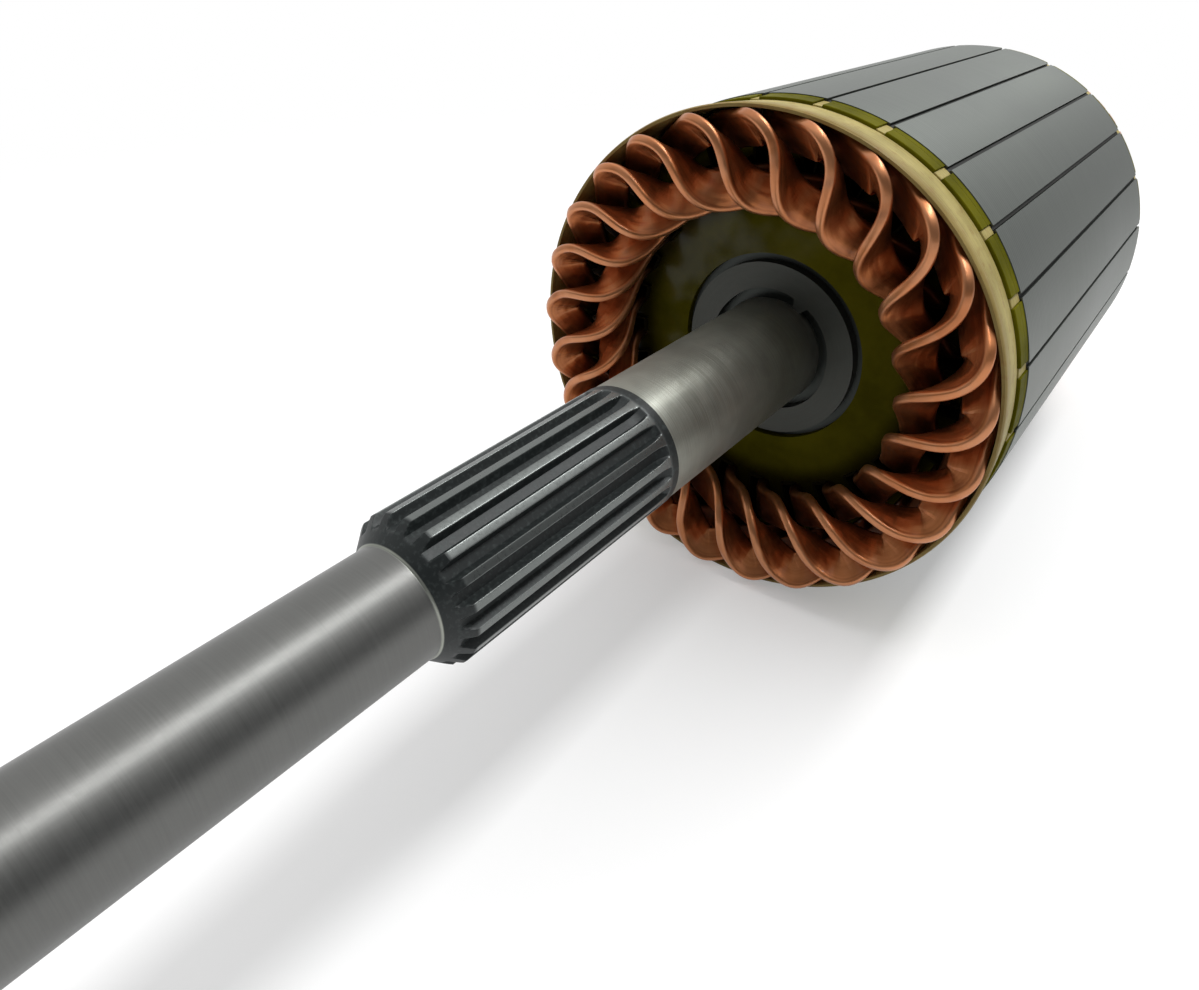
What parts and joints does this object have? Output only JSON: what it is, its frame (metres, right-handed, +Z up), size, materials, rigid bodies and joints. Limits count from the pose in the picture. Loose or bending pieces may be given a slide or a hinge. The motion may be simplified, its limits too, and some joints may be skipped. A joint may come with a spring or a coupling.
{
  "type": "motor armature",
  "caption": "Wound rotor of a direct-current motor: splined shaft, slotted laminated core, twisted copper hairpin winding, insulating end plates, glass bands and a barrel commutator.",
  "frame": {"origin": "on the shaft's axis, at the middle of the drive-end bearing journal", "axes": "+Y along the shaft from the drive end to the commutator end, +Z up"},
  "size_m": [0.06, 0.2195, 0.06],
  "materials": {
    "shaft_steel": "ground bright, with a black heat-treated spline",
    "lamination_steel": "satin, turned after stacking",
    "plate_varnish": "varnished insulation, olive green",
    "washer_steel": "dull grey",
    "liner_paper": "matt",
    "glass_tape": "resin-set tape",
    "winding_copper": "varnished copper",
    "bar_copper": "turned copper",
    "moulding": "moulded, matt"
  },
  "bodies": {
    "root": {"shaft": "shaft_steel", "lamination_core": "lamination_steel", "front_end_plate": "plate_varnish", "rear_end_plate": "plate_varnish", "thrust_washer": "washer_steel", "slot_liners": "liner_paper", "front_band": "glass_tape", "rear_band": "glass_tape", "commutator_hub": "moulding", "hairpin_01": "winding_copper", "hairpin_02": "winding_copper", "hairpin_03": "winding_copper", "hairpin_04": "winding_copper", "hairpin_05": "winding_copper", "hairpin_06": "winding_copper", "hairpin_07": "winding_copper", "hairpin_08": "winding_copper", "hairpin_09": "winding_copper", "hairpin_10": "winding_copper", "hairpin_11": "winding_copper", "hairpin_12": "winding_copper", "hairpin_13": "winding_copper", "hairpin_14": "winding_copper", "hairpin_15": "winding_copper", "hairpin_16": "winding_copper", "hairpin_17": "winding_copper", "hairpin_18": "winding_copper", "hairpin_19": "winding_copper", "hairpin_20": "winding_copper", "hairpin_21": "winding_copper", "hairpin_22": "winding_copper", "hairpin_23": "winding_copper", "hairpin_24": "winding_copper", "hairpin_25": "winding_copper", "commutator_bar_01": "bar_copper", "commutator_bar_02": "bar_copper", "commutator_bar_03": "bar_copper", "commutator_bar_04": "bar_copper", "commutator_bar_05": "bar_copper", "commutator_bar_06": "bar_copper", "commutator_bar_07": "bar_copper", "commutator_bar_08": "bar_copper", "commutator_bar_09": "bar_copper", "commutator_bar_10": "bar_copper", "commutator_bar_11": "bar_copper", "commutator_bar_12": "bar_copper", "commutator_bar_13": "bar_copper", "commutator_bar_14": "bar_copper", "commutator_bar_15": "bar_copper", "commutator_bar_16": "bar_copper", "commutator_bar_17": "bar_copper", "commutator_bar_18": "bar_copper", "commutator_bar_19": "bar_copper", "commutator_bar_20": "bar_copper", "commutator_bar_21": "bar_copper", "commutator_bar_22": "bar_copper", "commutator_bar_23": "bar_copper", "commutator_bar_24": "bar_copper", "commutator_bar_25": "bar_copper"}
  },
  "joints": []
}
